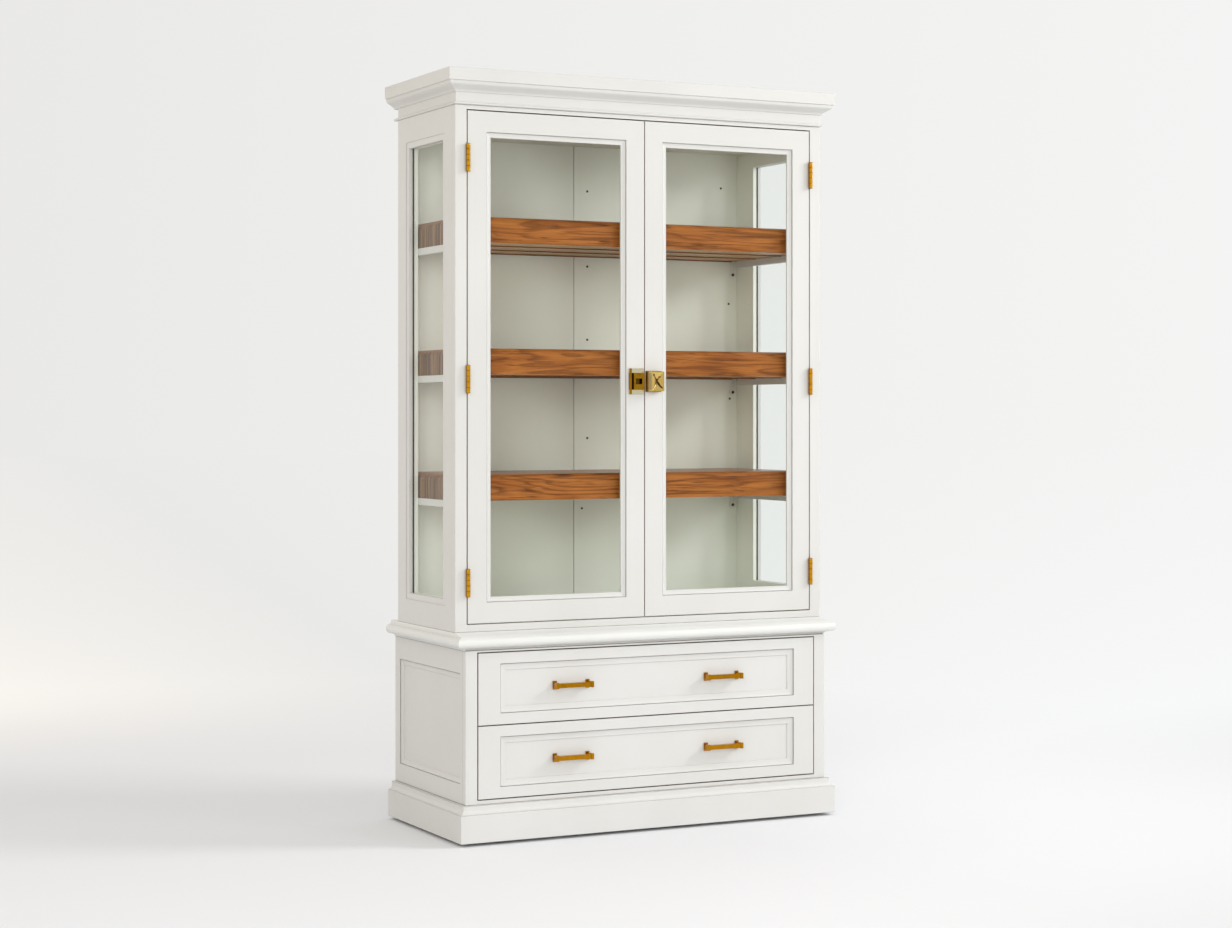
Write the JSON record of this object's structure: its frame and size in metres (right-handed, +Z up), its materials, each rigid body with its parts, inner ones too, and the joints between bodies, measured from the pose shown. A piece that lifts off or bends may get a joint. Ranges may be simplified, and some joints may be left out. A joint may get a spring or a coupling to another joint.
{
  "type": "china cabinet",
  "caption": "White painted china cabinet with glass doors and side windows, thick wood shelves, brass hardware, and a drawer base on a plinth.",
  "frame": {"origin": "centre of the bounding box's footprint, on the floor", "axes": "+X to the right as seen from the front, +Y from the front to the back, +Z up"},
  "size_m": [1.239, 0.541, 2.134],
  "materials": {
    "white_paint": "satin white lacquer",
    "inner_paint": "matt white lacquer",
    "shelf_wood": "clear lacquer over knotty solid wood",
    "drawer_wood": "plain sealed wood",
    "brass": "polished",
    "glass": "clear",
    "glide": "matt"
  },
  "bodies": {
    "case": {"back_board_left": "inner_paint", "back_board_right": "inner_paint", "ceiling": "inner_paint", "cornice": "white_paint", "dust_panel": "drawer_wood", "glide_back_left": "glide", "glide_back_right": "glide", "glide_front_left": "glide", "glide_front_right": "glide", "hinge_left_high_case": "brass", "hinge_left_low_case": "brass", "hinge_left_mid_case": "brass", "hinge_right_high_case": "brass", "hinge_right_low_case": "brass", "hinge_right_mid_case": "brass", "lower_back": "inner_paint", "lower_bottom": "drawer_wood", "lower_face_frame": "white_paint", "lower_side_left": "white_paint", "lower_side_right": "white_paint", "plinth": "white_paint", "shelf_cleat_high_left": "inner_paint", "shelf_cleat_high_right": "inner_paint", "shelf_cleat_low_left": "inner_paint", "shelf_cleat_low_right": "inner_paint", "shelf_cleat_mid_left": "inner_paint", "shelf_cleat_mid_right": "inner_paint", "shelf_high": "shelf_wood", "shelf_low": "shelf_wood", "shelf_mid": "shelf_wood", "side_pane_left": "glass", "side_pane_right": "glass", "upper_face_frame": "white_paint", "upper_side_left": "white_paint", "upper_side_right": "white_paint", "waist_board": "white_paint"},
    "left_door": {"door_left": "white_paint", "door_pane_left": "glass", "hinge_left_high_door": "brass", "hinge_left_low_door": "brass", "hinge_left_mid_door": "brass", "latch_keeper": "brass"},
    "right_door": {"door_pane_right": "glass", "door_right": "white_paint", "hinge_right_high_door": "brass", "hinge_right_low_door": "brass", "hinge_right_mid_door": "brass", "latch_case": "brass"},
    "upper_drawer": {"drawer_upper_bottom": "drawer_wood", "drawer_upper_box": "drawer_wood", "drawer_upper_front": "white_paint", "drawer_upper_pull_left": "brass", "drawer_upper_pull_right": "brass"},
    "lower_drawer": {"drawer_lower_bottom": "drawer_wood", "drawer_lower_box": "drawer_wood", "drawer_lower_front": "white_paint", "drawer_lower_pull_left": "brass", "drawer_lower_pull_right": "brass"},
    "knob": {"latch_knob": "brass"},
    "bolt": {"latch_bolt": "brass"}
  },
  "joints": [
    {"name": "left_door_hinge", "type": "hinge", "parent": "case", "child": "left_door", "pos_m": [-0.5517, -0.2101, 1.279], "axis": [0, 0, -1], "range_deg": [0, 110]},
    {"name": "right_door_hinge", "type": "hinge", "parent": "case", "child": "right_door", "pos_m": [0.5517, -0.2101, 1.279], "axis": [0, 0, 1], "range_deg": [0, 110]},
    {"name": "upper_drawer_slide", "type": "slide", "parent": "case", "child": "upper_drawer", "axis": [0, -1, 0], "range_m": [0, 0.33]},
    {"name": "lower_drawer_slide", "type": "slide", "parent": "case", "child": "lower_drawer", "axis": [0, -1, 0], "range_m": [0, 0.33]},
    {"name": "knob_turn", "type": "hinge", "parent": "right_door", "child": "knob", "pos_m": [0.025, -0.2238, 1.276], "axis": [0, 1, 0], "range_deg": [0, 90]},
    {"name": "bolt_slide", "type": "slide", "parent": "right_door", "child": "bolt", "axis": [-1, 0, 0], "range_m": [0, 0.02]}
  ],
  "couplings": [
    {"joint": "bolt_slide", "follows": "knob_turn", "m_per_rad": 0.0127}
  ]
}
